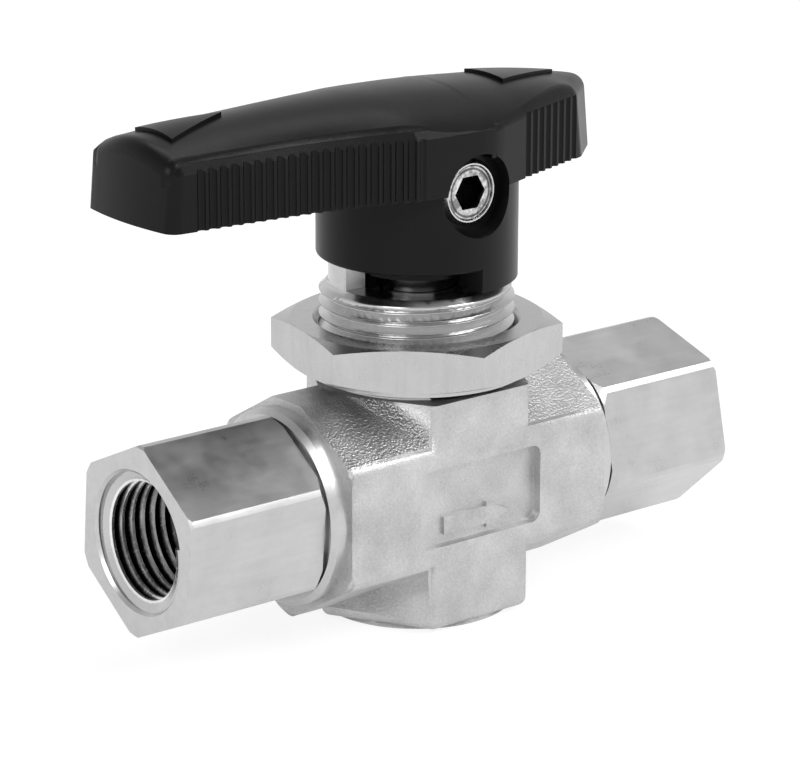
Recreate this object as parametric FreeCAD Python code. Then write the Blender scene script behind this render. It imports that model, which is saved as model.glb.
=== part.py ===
import FreeCAD, Part
import math
import os
from FreeCAD import Vector

# Quarter-turn two-way ball valve with a panel-mounting neck and a lever handle.
# Sizes are in millimetres. Heights are measured from the flow axis while the pieces are
# shaped, and each piece is then lifted so that the origin is the centre of the underside.
# X runs along the flow from inlet to outlet, Y points away from the marked side, Z is up.

# Body: a hexagonal column crossed by a hexagonal arm, both of one bar size
BODY_FLATS = 32.0
BODY_LENGTH = 50.2
COLUMN_TOP = 16.4
COLUMN_BOTTOM = -19.8
BASE_PAD_RADIUS = 15.2
BASE_PAD_HEIGHT = 0.6
ARM_EDGE_ROUND = 2.0
COLUMN_EDGE_ROUND = 1.2
COLUMN_FOOT_ROUND = 1.5
ARM_END_CHAMFER = 0.6

# Sunk panel with the flow arrow on the front face
PANEL_LENGTH = 23.6
PANEL_HEIGHT = 12.4
PANEL_DEPTH = 1.6
PANEL_CORNER = 1.6
ARROW_LENGTH = 13.2
ARROW_SHAFT = 2.8
ARROW_HEAD = 4.2
ARROW_HEAD_LENGTH = 4.8
ARROW_DROP = 3.4
ARROW_RELIEF = 0.6

# Threaded neck and the stop on top of it
NECK_RADIUS = 15.05
NECK_LENGTH = 15.15
NECK_CHAMFER = 1.45
STOP_HEIGHT = 3.65
STOP_END_GAP = 1.0
TRAVEL = 90.0

# Ball with stem in one piece
BALL_RADIUS = 9.2
FLOW_RADIUS = 4.6
STEM_RADIUS = 6.0
STEM_FLAT = 4.4
STEM_IN_HANDLE = 18.3
SHOULDER_RADIUS = 8.3
SHOULDER_BOTTOM = 9.5
SHOULDER_TOP = 11.0
TRUNNION_RADIUS = 3.5
TRUNNION_BOTTOM = -15.2

# Fits
RUNNING_FIT = 0.05
LOOSE_FIT = 0.1
BALL_TO_SEAT = 0.1
AXIAL_PLAY = 0.1

# Bores of the body
CHAMBER_RADIUS = 10.2
CHAMBER_HALF_LENGTH = 12.0
END_BORE_RADIUS = 13.0
END_BORE_CHAMFER = 0.4
NECK_BORE_RADIUS = 9.9
BEARING_BORE_RADIUS = 5.0

# Seals and rings round the stem
BEARING_HEIGHT = 1.2
GLAND_HEIGHT = 9.0
GLAND_WALL_TO_GROOVE = 1.3
STEM_RING_SECTION = 0.93
BACKUP_HEIGHT = 1.2
GLAND_RING_SECTION = 0.82
RETAINER_HEIGHT = 9.4
RETAINER_SLOT_WIDTH = 2.6
RETAINER_SLOT_DEPTH = 2.2

# End connectors
HEX_FLATS = 27.0
HEX_TURNED_RADIUS = 15.3
CONNECTOR_LENGTH = 27.7
FLANGE_RADIUS = 15.3
FLANGE_THICKNESS = 2.8
FLANGE_CHAMFER = 0.8
FLANGE_GROOVE_RADIUS = 13.0
FLANGE_GROOVE_WIDTH = 0.5
HEX_INNER_CHAMFER = 0.9
HEX_OUTER_CHAMFER = 0.35
INLET_HEX_TURN = 4.8
OUTLET_HEX_TURN = -12.5
PORT_RADIUS = 10.67
PORT_DEPTH = 15.0
PORT_MOUTH_CHAMFER = 0.45
CONNECTOR_RING_SECTION = 0.95
CONNECTOR_GROOVE_START = 21.4

# Spring-loaded seats
SEAT_INNER_RADIUS = 4.9
SEAT_OUTER_RADIUS = 7.85
SEAT_FRONT = 6.1
SEAT_DEPTH_IN_CARRIER = 2.45
CARRIER_RADIUS = 9.2
CARRIER_FRONT = 8.0
CARRIER_LENGTH = 8.0
SEAT_RING_SECTION = 0.75
SEAT_RING_START = 12.9
SPRING_INNER_RADIUS = 5.4
SPRING_OUTER_RADIUS = 9.0
SPRING_THICKNESS = 0.4
SPRING_CONE = 0.3

# Panel nut
NUT_FLATS = 39.0
NUT_HEX_HEIGHT = 6.7
NUT_PAD_RADIUS = 17.4
NUT_PAD_HEIGHT = 1.2
NUT_LIFT = 1.1
NUT_VERTEX_ANGLE = -42.4
NUT_TOP_SLOPE = 15.0
NUT_FOOT_SLOPE = 22.0
NUT_MOUTH_CHAMFER = 0.9

# Handle
HUB_RADIUS = 15.5
HUB_GAP = 0.5
HUB_HEIGHT = 12.2
HUB_IN_WINGS = 5.1
HUB_EDGE_ROUND = 0.5
SLEEVE_RADIUS = 9.3
SLEEVE_DROP = 2.3
LUG_DROP = 3.4
LUG_INNER_RADIUS = 10.1
LUG_END_ANGLE = 0.6
BAND_HEIGHT = 10.6
TIP_UNDERSIDE_RISE = 1.1
BLANK_BELOW = 1.9
BLANK_ABOVE = 5.4
LEDGE_WIDTH = 1.2
LONG_WING_TIP = -54.4
LONG_WING_TIP_HALF_WIDTH = 10.6
LONG_WING_SLOPE = 0.042
LONG_WING_WAIST_X = -33.0
LONG_WING_BEND = 0.0057
LONG_WING_ROOT_X = -12.0
TIP_BULGE_RADIUS = 52.0
TIP_LEAN = 2.0
TIP_CORNER_ROUND = 2.0
TIP_TOP_ROUND = 2.6
TIP_RIM_INSET = 1.0
SHOULDER_X = 2.0
SHORT_WING_TAPER = 18.2
NOSE_CORNER_X = 26.9
NOSE_TIP = 33.85
NOSE_ROUND = 3.0
NOSE_LEAN = 2.25
EDGE_ROUND_AT_HUB = 1.5
EDGE_ROUND_AT_NOSE = 2.4
SHOULDER_EDGE_DROP = 1.1
SHORT_WING_EDGE_RISE = 1.0
SHORT_WING_EDGE_X = 20.0
NOSE_EDGE_DROP = 0.2
CROWN_STEP = 4.0
CROWN_RISE = 4.1
CROWN_CENTRE_X = -15.0
CROWN_RADIUS = 400.0
SHORT_CROWN_RADIUS = 320.0
RIB_PITCH = 1.95
RIB_GROOVE_RADIUS = 0.75
RIB_GROOVE_DEPTH = 0.5
LONG_WING_FIRST_GROOVE_X = -48.0
LONG_WING_GROOVES = 21
SHORT_WING_FIRST_GROOVE_X = 11.5
SHORT_WING_GROOVES = 8
SHORT_GROOVE_DROP = 0.5
POCKET_WALL = 2.4
POCKET_ROOF_DROP = 2.9
POCKET_RIB = 1.6
POCKET_RIBS = 3
POINTER_HALF_WIDTH = 4.6
POINTER_RELIEF = 0.55
LONG_POINTER = (-48.5, -36.5)
SHORT_POINTER = (13.0, 27.0)

# Handle insert and set screw
INSERT_RADIUS = 8.2
INSERT_DROP = 1.7
INSERT_TOP_WALL = 0.3
SCREW_RISE = 11.6
SCREW_RADIUS = 4.25
SCREW_FACE = 12.6
SCREW_CHAMFER = 0.25
SCREW_SOCKET_FLATS = 5.0
SCREW_SOCKET_DEPTH = 4.0
SCREW_HOLE_RADIUS = 6.4
SCREW_HOLE_FLOOR = 12.0
INSERT_BOSS_RADIUS = 5.1
INSERT_BOSS_FACE = 12.8
INSERT_BOSS_CHAMFER = 0.6

BASE_TO_AXIS = BASE_PAD_HEIGHT - COLUMN_BOTTOM
ARM_FACE = BODY_LENGTH / 2
NECK_TOP = COLUMN_TOP + NECK_LENGTH
STOP_RADIUS = NECK_RADIUS - NECK_CHAMFER
GLAND_SEAT = SHOULDER_TOP + BEARING_HEIGHT + AXIAL_PLAY
CONNECTOR_FACE = ARM_FACE + CONNECTOR_LENGTH
HUB_BOTTOM = NECK_TOP + STOP_HEIGHT + HUB_GAP
INSERT_BOTTOM = HUB_BOTTOM - INSERT_DROP
STEM_TOP = HUB_BOTTOM + STEM_IN_HANDLE
SCREW_HEIGHT = HUB_BOTTOM + SCREW_RISE
WING_BOTTOM = HUB_BOTTOM + HUB_HEIGHT
HUB_TOP = WING_BOTTOM + HUB_IN_WINGS
LEDGE_HEIGHT = WING_BOTTOM + BAND_HEIGHT
CROWN_TOP = LEDGE_HEIGHT + CROWN_RISE
SHOULDER_EDGE_HEIGHT = LEDGE_HEIGHT - SHOULDER_EDGE_DROP
WING_BLANK_BOTTOM = WING_BOTTOM - BLANK_BELOW
WING_BLANK_TOP = CROWN_TOP + BLANK_ABOVE
TALL = 200.0
ORIGIN = Vector(0, 0, 0)
ALONG_X = Vector(1, 0, 0)
ALONG_Y = Vector(0, 1, 0)
ALONG_Z = Vector(0, 0, 1)


def save(name, shape):
    lifted = shape.copy()
    lifted.translate(Vector(0, 0, BASE_TO_AXIS))
    lifted.exportStep(os.path.join("parts", name + ".step"))


def upright_cylinder(radius, low, high):
    return Part.makeCylinder(radius, high - low, Vector(0, 0, low), ALONG_Z)


def flow_cylinder(radius, start, end):
    return Part.makeCylinder(radius, end - start, Vector(start, 0, 0), ALONG_X)


def front_cylinder(radius, height, start, end):
    return Part.makeCylinder(radius, end - start, Vector(0, start, height), ALONG_Y)


def upright_ring(inner, outer, low, high):
    return upright_cylinder(outer, low, high).cut(upright_cylinder(inner, low, high))


def box_between(low, high):
    size = Vector(high).sub(Vector(low))
    return Part.makeBox(size.x, size.y, size.z, Vector(low))


def turned_about_z(profile):
    """Solid of revolution of (radius, height) points about the stem axis."""
    points = [Vector(radius, 0, height) for radius, height in profile]
    face = Part.Face(Part.makePolygon(points + points[:1]))
    return face.revolve(ORIGIN, ALONG_Z, 360)


def turned_about_x(profile):
    """Solid of revolution of (place, radius) points about the flow axis."""
    points = [Vector(place, 0, radius) for place, radius in profile]
    face = Part.Face(Part.makePolygon(points + points[:1]))
    return face.revolve(ORIGIN, ALONG_X, 360)


def rounded_outline(points, radii):
    """Closed wire through the points, with each corner rounded by its own radius."""
    edges = []
    count = len(points)
    starts = []
    ends = []
    middles = []
    for index in range(count):
        corner = points[index]
        before = points[index - 1].sub(corner)
        after = points[(index + 1) % count].sub(corner)
        before.normalize()
        after.normalize()
        half_angle = before.getAngle(after) / 2
        setback = radii[index] / math.tan(half_angle)
        bisector = before.add(after)
        bisector.normalize()
        to_centre = radii[index] / math.sin(half_angle)
        starts.append(corner.add(before.multiply(setback)))
        ends.append(corner.add(after.multiply(setback)))
        middles.append(corner.add(bisector.multiply(to_centre - radii[index])))
    for index in range(count):
        arc = Part.Arc(starts[index], middles[index], ends[index])
        following = (index + 1) % count
        edges.append(arc.toShape())
        edges.append(Part.LineSegment(ends[index], starts[following]).toShape())
    return Part.Wire(edges)


def hexagon_points(flats, turn_degrees, place):
    """Corners of a hexagon; place turns an angle's cosine and sine into a point."""
    radius = flats / 2 / math.cos(math.radians(30))
    corners = []
    for step in range(6):
        angle = math.radians(turn_degrees + 60 * step)
        corners.append(place(radius * math.cos(angle), radius * math.sin(angle)))
    return corners


def in_cross_section(start):
    return lambda up, side: Vector(start, -side, up)


def in_plan(low):
    return lambda along, across: Vector(along, across, low)


def in_front(y):
    return lambda along, up: Vector(along, y, SCREW_HEIGHT + up)


def hexagon_along_flow(flats, turn_degrees, start, end):
    corners = hexagon_points(flats, turn_degrees, in_cross_section(start))
    face = Part.Face(Part.makePolygon(corners + corners[:1]))
    return face.extrude(Vector(end - start, 0, 0))


def upright_hexagon(flats, turn_degrees, low, high):
    corners = hexagon_points(flats, turn_degrees, in_plan(low))
    face = Part.Face(Part.makePolygon(corners + corners[:1]))
    return face.extrude(Vector(0, 0, high - low))


def mirrored_to(side, shape):
    """The outlet side is shaped first, and the inlet side is its mirror image."""
    if side > 0:
        return shape
    return shape.mirror(ORIGIN, ALONG_X)


def edges_at_height(shape, height):
    found = []
    for edge in shape.Edges:
        box = edge.BoundBox
        if abs(box.ZMin - height) < 1e-4 and abs(box.ZMax - height) < 1e-4:
            found.append(edge)
    return found


def body_column():
    corners = hexagon_points(BODY_FLATS, 0, in_plan(COLUMN_BOTTOM))
    outline = rounded_outline(corners, [COLUMN_EDGE_ROUND] * 6)
    column = Part.Face(outline).extrude(Vector(0, 0, COLUMN_TOP - COLUMN_BOTTOM))
    return column.makeFillet(COLUMN_FOOT_ROUND, edges_at_height(column, COLUMN_BOTTOM))


def body_arm():
    corners = hexagon_points(BODY_FLATS, 0, in_cross_section(-ARM_FACE))
    outline = rounded_outline(corners, [ARM_EDGE_ROUND] * 6)
    arm = Part.Face(outline).extrude(Vector(BODY_LENGTH, 0, 0))
    across_corners = BODY_FLATS / math.sqrt(3)
    neck_in = across_corners - ARM_END_CHAMFER
    turned = turned_about_x([
        (-ARM_FACE, 0),
        (-ARM_FACE, neck_in - ARM_END_CHAMFER),
        (-ARM_FACE + ARM_END_CHAMFER, neck_in + ARM_END_CHAMFER),
        (ARM_FACE - ARM_END_CHAMFER, neck_in + ARM_END_CHAMFER),
        (ARM_FACE, neck_in - ARM_END_CHAMFER),
        (ARM_FACE, 0),
    ])
    above = box_between((-ARM_FACE, -TALL, COLUMN_TOP), (ARM_FACE, TALL, TALL))
    return arm.common(turned).cut(above)


def neck():
    return turned_about_z([
        (0, COLUMN_TOP - 1),
        (NECK_RADIUS, COLUMN_TOP - 1),
        (NECK_RADIUS, NECK_TOP - NECK_CHAMFER),
        (STOP_RADIUS, NECK_TOP),
        (0, NECK_TOP),
    ])


def sector(inner, outer, low, high, first_angle, sweep):
    """Part of a ring, from first_angle round by sweep degrees."""
    points = [Vector(inner, 0, low), Vector(outer, 0, low)]
    points += [Vector(outer, 0, high), Vector(inner, 0, high)]
    face = Part.Face(Part.makePolygon(points + points[:1]))
    piece = face.revolve(ORIGIN, ALONG_Z, sweep)
    piece.rotate(ORIGIN, ALONG_Z, first_angle)
    return piece


def stop_sector():
    span = 360 - 2 * TRAVEL - 2 * STOP_END_GAP
    return sector(NECK_BORE_RADIUS, STOP_RADIUS, NECK_TOP - 1, NECK_TOP + STOP_HEIGHT,
                  STOP_END_GAP, span)


def panel_recess():
    front = -BODY_FLATS / 2
    half_length = PANEL_LENGTH / 2
    half_height = PANEL_HEIGHT / 2
    corners = [
        Vector(-half_length, front - 1, -half_height),
        Vector(half_length, front - 1, -half_height),
        Vector(half_length, front - 1, half_height),
        Vector(-half_length, front - 1, half_height),
    ]
    outline = rounded_outline(corners, [PANEL_CORNER] * 4)
    return Part.Face(outline).extrude(Vector(0, PANEL_DEPTH + 1, 0))


def flow_arrow():
    floor = PANEL_DEPTH - BODY_FLATS / 2
    start = -ARROW_LENGTH / 2
    tip = ARROW_LENGTH / 2
    neck_x = tip - ARROW_HEAD_LENGTH
    outline = [
        (start, -ARROW_SHAFT / 2),
        (neck_x, -ARROW_SHAFT / 2),
        (neck_x, -ARROW_HEAD / 2),
        (tip, 0),
        (neck_x, ARROW_HEAD / 2),
        (neck_x, ARROW_SHAFT / 2),
        (start, ARROW_SHAFT / 2),
    ]
    points = [Vector(x, floor, z - ARROW_DROP) for x, z in outline]
    face = Part.Face(Part.makePolygon(points + points[:1]))
    return face.extrude(Vector(0, -ARROW_RELIEF, 0))


def body_end_bore():
    return turned_about_x([
        (CHAMBER_HALF_LENGTH, 0),
        (CHAMBER_HALF_LENGTH, END_BORE_RADIUS),
        (ARM_FACE - END_BORE_CHAMFER, END_BORE_RADIUS),
        (ARM_FACE, END_BORE_RADIUS + END_BORE_CHAMFER),
        (ARM_FACE + 1, END_BORE_RADIUS + END_BORE_CHAMFER),
        (ARM_FACE + 1, 0),
    ])


def valve_body():
    base_pad = upright_cylinder(BASE_PAD_RADIUS, -BASE_TO_AXIS, COLUMN_BOTTOM + 1)
    body = body_column().fuse([body_arm(), neck(), stop_sector(), base_pad])
    body = body.cut(panel_recess()).fuse(flow_arrow())
    chamber = flow_cylinder(CHAMBER_RADIUS, -CHAMBER_HALF_LENGTH, CHAMBER_HALF_LENGTH)
    ball_way = upright_cylinder(BALL_RADIUS + LOOSE_FIT, 0, GLAND_SEAT)
    neck_bore = upright_cylinder(NECK_BORE_RADIUS, GLAND_SEAT, NECK_TOP + STOP_HEIGHT + 1)
    bearing_bore = upright_cylinder(BEARING_BORE_RADIUS, TRUNNION_BOTTOM - AXIAL_PLAY, 0)
    hollows = [chamber, ball_way, neck_bore, bearing_bore]
    for side in (-1, 1):
        hollows.append(mirrored_to(side, body_end_bore()))
    return body.cut(hollows).removeSplitter()


def connector_hex(turn_degrees):
    start = ARM_FACE + FLANGE_THICKNESS + FLANGE_GROOVE_WIDTH
    bar = hexagon_along_flow(HEX_FLATS, turn_degrees, start, CONNECTOR_FACE)
    turned = turned_about_x([
        (start, 0),
        (start, HEX_TURNED_RADIUS - HEX_INNER_CHAMFER),
        (start + HEX_INNER_CHAMFER, HEX_TURNED_RADIUS),
        (CONNECTOR_FACE - HEX_OUTER_CHAMFER, HEX_TURNED_RADIUS),
        (CONNECTOR_FACE, HEX_TURNED_RADIUS - HEX_OUTER_CHAMFER),
        (CONNECTOR_FACE, 0),
    ])
    return bar.common(turned)


def connector_turned_part():
    """Nose, sealing groove, flange disc and the neck under the hexagon."""
    nose = CHAMBER_HALF_LENGTH + AXIAL_PLAY
    spigot = END_BORE_RADIUS - RUNNING_FIT
    groove_floor = END_BORE_RADIUS - 2 * CONNECTOR_RING_SECTION - RUNNING_FIT
    groove_end = CONNECTOR_GROOVE_START + 2.5 * CONNECTOR_RING_SECTION
    flange_end = ARM_FACE + FLANGE_THICKNESS
    return turned_about_x([
        (nose, 0),
        (nose, spigot),
        (CONNECTOR_GROOVE_START, spigot),
        (CONNECTOR_GROOVE_START, groove_floor),
        (groove_end, groove_floor),
        (groove_end, spigot),
        (ARM_FACE, spigot),
        (ARM_FACE, FLANGE_RADIUS),
        (flange_end - FLANGE_CHAMFER, FLANGE_RADIUS),
        (flange_end, FLANGE_RADIUS - FLANGE_CHAMFER),
        (flange_end, FLANGE_GROOVE_RADIUS),
        (flange_end + FLANGE_GROOVE_WIDTH + 1, FLANGE_GROOVE_RADIUS),
        (flange_end + FLANGE_GROOVE_WIDTH + 1, 0),
    ])


def pocket_floor():
    springs = 2 * SPRING_THICKNESS + 2 * SPRING_CONE
    return CARRIER_FRONT + CARRIER_LENGTH + springs + 2 * RUNNING_FIT


def connector_bore():
    pocket_radius = CARRIER_RADIUS + LOOSE_FIT
    pocket_end = pocket_floor()
    port_start = CONNECTOR_FACE - PORT_DEPTH
    drill_point = (PORT_RADIUS - FLOW_RADIUS) * math.tan(math.radians(30))
    mouth = PORT_RADIUS + PORT_MOUTH_CHAMFER
    return turned_about_x([
        (CHAMBER_HALF_LENGTH - 1, 0),
        (CHAMBER_HALF_LENGTH - 1, pocket_radius),
        (pocket_end, pocket_radius),
        (pocket_end, FLOW_RADIUS),
        (port_start - drill_point, FLOW_RADIUS),
        (port_start, PORT_RADIUS),
        (CONNECTOR_FACE - PORT_MOUTH_CHAMFER, PORT_RADIUS),
        (CONNECTOR_FACE, mouth),
        (CONNECTOR_FACE + 1, mouth),
        (CONNECTOR_FACE + 1, 0),
    ])


def end_connector(side, turn_degrees):
    solid = connector_turned_part().fuse(connector_hex(turn_degrees))
    return mirrored_to(side, solid.cut(connector_bore()).removeSplitter())


def connector_ring(side):
    centre = END_BORE_RADIUS - RUNNING_FIT - CONNECTOR_RING_SECTION
    place = CONNECTOR_GROOVE_START + 1.25 * CONNECTOR_RING_SECTION
    ring = Part.makeTorus(centre, CONNECTOR_RING_SECTION, Vector(place, 0, 0), ALONG_X)
    return mirrored_to(side, ring)


def seat_ring(side):
    back = CARRIER_FRONT + SEAT_DEPTH_IN_CARRIER
    blank = flow_cylinder(SEAT_OUTER_RADIUS, SEAT_FRONT, back)
    blank = blank.cut(flow_cylinder(SEAT_INNER_RADIUS, SEAT_FRONT, back))
    return mirrored_to(side, blank.cut(Part.makeSphere(BALL_RADIUS + BALL_TO_SEAT)))


def seat_carrier(side):
    back = CARRIER_FRONT + CARRIER_LENGTH
    recess_floor = CARRIER_FRONT + SEAT_DEPTH_IN_CARRIER + RUNNING_FIT
    groove_floor = CARRIER_RADIUS + RUNNING_FIT - 2 * SEAT_RING_SECTION - RUNNING_FIT
    groove_end = SEAT_RING_START + 2.6 * SEAT_RING_SECTION
    ring = turned_about_x([
        (CARRIER_FRONT, SEAT_OUTER_RADIUS + RUNNING_FIT),
        (CARRIER_FRONT, CARRIER_RADIUS),
        (SEAT_RING_START, CARRIER_RADIUS),
        (SEAT_RING_START, groove_floor),
        (groove_end, groove_floor),
        (groove_end, CARRIER_RADIUS),
        (back, CARRIER_RADIUS),
        (back, FLOW_RADIUS),
        (recess_floor, FLOW_RADIUS),
        (recess_floor, SEAT_OUTER_RADIUS + RUNNING_FIT),
    ])
    return mirrored_to(side, ring)


def seat_back_ring(side):
    centre = CARRIER_RADIUS + RUNNING_FIT - SEAT_RING_SECTION
    place = SEAT_RING_START + 1.3 * SEAT_RING_SECTION
    ring = Part.makeTorus(centre, SEAT_RING_SECTION, Vector(place, 0, 0), ALONG_X)
    return mirrored_to(side, ring)


def disc_springs(side):
    """Two conical washers, rim to rim, between the carrier and its pocket."""
    start = CARRIER_FRONT + CARRIER_LENGTH + RUNNING_FIT
    middle = start + SPRING_CONE + SPRING_THICKNESS
    first = turned_about_x([
        (start, SPRING_INNER_RADIUS),
        (start + SPRING_CONE, SPRING_OUTER_RADIUS),
        (middle, SPRING_OUTER_RADIUS),
        (start + SPRING_THICKNESS, SPRING_INNER_RADIUS),
    ])
    second = first.mirror(Vector(middle, 0, 0), ALONG_X)
    return mirrored_to(side, Part.makeCompound([first, second]))


def lower_bearing():
    low = TRUNNION_BOTTOM
    high = -CHAMBER_RADIUS - AXIAL_PLAY
    inner = TRUNNION_RADIUS + RUNNING_FIT
    return upright_ring(inner, BEARING_BORE_RADIUS - RUNNING_FIT, low, high)


def upper_bearing():
    inner = STEM_RADIUS + RUNNING_FIT
    outer = BALL_RADIUS + LOOSE_FIT - RUNNING_FIT
    return upright_ring(inner, outer, SHOULDER_TOP, SHOULDER_TOP + BEARING_HEIGHT)


def gland_groove_heights():
    """Lower and upper end of the inner groove, then of the outer groove."""
    inner_low = GLAND_SEAT + GLAND_WALL_TO_GROOVE
    inner_high = inner_low + 2.2 * STEM_RING_SECTION + BACKUP_HEIGHT
    outer_low = inner_high + GLAND_WALL_TO_GROOVE / 2
    outer_high = outer_low + 2.6 * GLAND_RING_SECTION
    return inner_low, inner_high, outer_low, outer_high


def gland():
    inner_low, inner_high, outer_low, outer_high = gland_groove_heights()
    wall = STEM_RADIUS + LOOSE_FIT
    inner_floor = STEM_RADIUS + 2 * STEM_RING_SECTION + 2 * RUNNING_FIT
    outer = NECK_BORE_RADIUS - RUNNING_FIT
    outer_floor = outer - 2 * GLAND_RING_SECTION
    return turned_about_z([
        (wall, GLAND_SEAT),
        (outer, GLAND_SEAT),
        (outer, outer_low),
        (outer_floor, outer_low),
        (outer_floor, outer_high),
        (outer, outer_high),
        (outer, GLAND_SEAT + GLAND_HEIGHT),
        (wall, GLAND_SEAT + GLAND_HEIGHT),
        (wall, inner_high),
        (inner_floor, inner_high),
        (inner_floor, inner_low),
        (wall, inner_low),
    ])


def stem_ring():
    height = gland_groove_heights()[0] + STEM_RING_SECTION + RUNNING_FIT
    centre = STEM_RADIUS + RUNNING_FIT + STEM_RING_SECTION
    return Part.makeTorus(centre, STEM_RING_SECTION, Vector(0, 0, height), ALONG_Z)


def stem_backup_ring():
    high = gland_groove_heights()[1] - RUNNING_FIT
    inner = STEM_RADIUS + RUNNING_FIT
    outer = inner + 2 * STEM_RING_SECTION
    return upright_ring(inner, outer, high - BACKUP_HEIGHT, high)


def gland_ring():
    outer_low, outer_high = gland_groove_heights()[2:]
    centre = NECK_BORE_RADIUS - RUNNING_FIT - GLAND_RING_SECTION
    height = (outer_low + outer_high) / 2
    return Part.makeTorus(centre, GLAND_RING_SECTION, Vector(0, 0, height), ALONG_Z)


def retainer_nut():
    low = GLAND_SEAT + GLAND_HEIGHT
    high = low + RETAINER_HEIGHT
    ring = upright_ring(STEM_RADIUS + 3 * LOOSE_FIT, NECK_BORE_RADIUS - RUNNING_FIT, low, high)
    half = RETAINER_SLOT_WIDTH / 2
    slot = box_between((-TALL, -half, high - RETAINER_SLOT_DEPTH), (TALL, half, high + 1))
    return ring.cut(slot)


def double_flat_bar(radius, flat, low, high):
    bar = upright_cylinder(radius, low, high)
    return bar.common(box_between((-radius, -flat, low), (radius, flat, high)))


def ball_stem():
    drive_start = INSERT_BOTTOM - AXIAL_PLAY
    ball = Part.makeSphere(BALL_RADIUS)
    trunnion = upright_cylinder(TRUNNION_RADIUS, TRUNNION_BOTTOM, 0)
    stem = upright_cylinder(STEM_RADIUS, 0, drive_start)
    shoulder = upright_cylinder(SHOULDER_RADIUS, SHOULDER_BOTTOM, SHOULDER_TOP)
    drive = double_flat_bar(STEM_RADIUS, STEM_FLAT, drive_start - 1, STEM_TOP)
    solid = ball.fuse([trunnion, stem, shoulder, drive])
    bore = flow_cylinder(FLOW_RADIUS, -2 * BALL_RADIUS, 2 * BALL_RADIUS)
    return solid.cut(bore).removeSplitter()


def panel_nut():
    pad_bottom = COLUMN_TOP + NUT_LIFT
    hex_bottom = pad_bottom + NUT_PAD_HEIGHT
    hex_top = hex_bottom + NUT_HEX_HEIGHT
    bore = NECK_RADIUS + LOOSE_FIT
    mouth = bore + NUT_MOUTH_CHAMFER
    corner = NUT_FLATS / math.sqrt(3)
    flat = NUT_FLATS / 2
    top_drop = (corner - flat) * math.tan(math.radians(NUT_TOP_SLOPE))
    foot_rise = (corner - flat) * math.tan(math.radians(NUT_FOOT_SLOPE))
    bar = upright_hexagon(NUT_FLATS, NUT_VERTEX_ANGLE, hex_bottom, hex_top)
    turned = turned_about_z([
        (0, hex_bottom),
        (flat, hex_bottom),
        (corner, hex_bottom + foot_rise),
        (corner, hex_top - top_drop),
        (flat, hex_top),
        (0, hex_top),
    ])
    pad = upright_cylinder(NUT_PAD_RADIUS, pad_bottom, hex_bottom)
    hole = turned_about_z([
        (0, pad_bottom),
        (mouth, pad_bottom),
        (bore, pad_bottom + NUT_MOUTH_CHAMFER),
        (bore, hex_top - NUT_MOUTH_CHAMFER),
        (mouth, hex_top),
        (0, hex_top),
    ])
    return bar.common(turned).fuse(pad).cut(hole).removeSplitter()


def crown_height(x):
    along = x - CROWN_CENTRE_X
    radius = CROWN_RADIUS if along < 0 else SHORT_CROWN_RADIUS
    return CROWN_TOP - along ** 2 / (2 * radius)


def long_wing_half_width(x):
    widening = LONG_WING_BEND * max(0, x - LONG_WING_WAIST_X) ** 2
    return LONG_WING_TIP_HALF_WIDTH + LONG_WING_SLOPE * (x - LONG_WING_TIP) + widening


def short_wing_half_width(x):
    """The short wing's sides run straight, at a tangent to the hub."""
    taper = math.radians(SHORT_WING_TAPER)
    return HUB_RADIUS / math.cos(taper) - x * math.tan(taper)


def on_hub(x, direction):
    return Vector(x, direction * math.sqrt(HUB_RADIUS ** 2 - x ** 2), 0)


def tangent_point(start, centre_x, radius, turn):
    """Where a line from start touches a circle on the X axis; turn picks the side."""
    centre = Vector(centre_x, 0, 0)
    to_start = start.sub(centre)
    toward_start = math.atan2(to_start.y, to_start.x)
    angle = toward_start + turn * math.acos(radius / to_start.Length)
    return Vector(centre_x + radius * math.cos(angle), radius * math.sin(angle), 0)


def hub_arc(start_x, end_x, direction):
    middle = on_hub((start_x + end_x) / 2, direction)
    return Part.Arc(on_hub(start_x, direction), middle, on_hub(end_x, direction)).toShape()


def long_wing_side(direction, inset):
    """One side of the long wing in plan, from its end to the shoulder on the hub.

    With an inset the side lies further in, and meets the other one at the shoulder."""
    bend_middle = (LONG_WING_WAIST_X + LONG_WING_ROOT_X) / 2
    places = [LONG_WING_TIP - 1, LONG_WING_WAIST_X, bend_middle, LONG_WING_ROOT_X]
    points = [Vector(x, direction * (long_wing_half_width(x) - inset), 0) for x in places]
    tip, waist, middle, root = points
    edges = [
        Part.LineSegment(tip, waist).toShape(),
        Part.Arc(waist, middle, root).toShape(),
    ]
    shoulder = on_hub(SHOULDER_X, direction)
    if inset:
        return edges + [Part.LineSegment(root, shoulder).toShape()]
    touch = tangent_point(root, 0, HUB_RADIUS, -direction)
    edges.append(Part.LineSegment(root, touch).toShape())
    edges.append(hub_arc(touch.x, SHOULDER_X, direction))
    return edges


def short_wing_side(direction):
    """One side of the short wing in plan, from the shoulder to beyond its nose."""
    touch_x = HUB_RADIUS * math.sin(math.radians(SHORT_WING_TAPER))
    end_x = NOSE_TIP + 1
    end = Vector(end_x, direction * short_wing_half_width(end_x), 0)
    return [
        hub_arc(SHOULDER_X, touch_x, direction),
        Part.LineSegment(on_hub(touch_x, direction), end).toShape(),
    ]


def wing_block(front, back, low, high):
    """Upright block between two sides, closed by straight ends."""
    near_end = Part.LineSegment(front[0].Vertexes[0].Point, back[0].Vertexes[0].Point)
    far_end = Part.LineSegment(front[-1].Vertexes[-1].Point, back[-1].Vertexes[-1].Point)
    edges = front + [far_end.toShape()] + back + [near_end.toShape()]
    outline = Part.Wire(Part.__sortEdges__(edges))
    block = Part.Face(outline).extrude(Vector(0, 0, high - low))
    block.translate(Vector(0, 0, low))
    return block


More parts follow.
